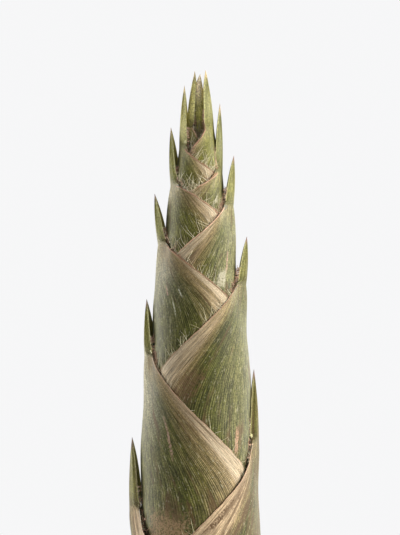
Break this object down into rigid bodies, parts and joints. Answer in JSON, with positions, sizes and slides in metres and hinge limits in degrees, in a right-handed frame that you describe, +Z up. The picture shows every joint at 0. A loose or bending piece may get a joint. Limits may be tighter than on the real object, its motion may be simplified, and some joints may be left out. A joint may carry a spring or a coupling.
{
  "type": "bamboo shoot",
  "caption": "Fresh bamboo shoot, cut flat at the base, tapering to a tuft of needle-tipped blades, with two ranks of overlapping grey-green sheaths round a pale culm.",
  "frame": {"origin": "middle of the flat cut face at the foot of the shoot", "axes": "+Z up the shoot to its tip; the leaves' midribs face -X and +X by turns; -Y is one of the two sides where the sheaths' free edges cross"},
  "size_m": [0.0563, 0.0514, 0.248],
  "materials": {
    "culm_flesh": "moist, pale cream, finely fibrous, satin",
    "mature_sheath": "grey-green with a whitish bloom, fine long veins and tan papery margins, matt",
    "young_sheath": "yellow-green with fine pale hairs and orange-brown edges, satin"
  },
  "bodies": {
    "root": {"culm": "culm_flesh", "sheath_01": "mature_sheath", "sheath_02": "mature_sheath", "sheath_03": "mature_sheath", "sheath_04": "mature_sheath", "sheath_05": "mature_sheath", "sheath_06": "mature_sheath", "sheath_07": "mature_sheath", "sheath_08": "mature_sheath", "sheath_09": "young_sheath", "sheath_10": "young_sheath", "sheath_11": "young_sheath", "sheath_12": "young_sheath", "sheath_13": "young_sheath", "sheath_14": "young_sheath", "tip_bud": "young_sheath"}
  },
  "joints": []
}
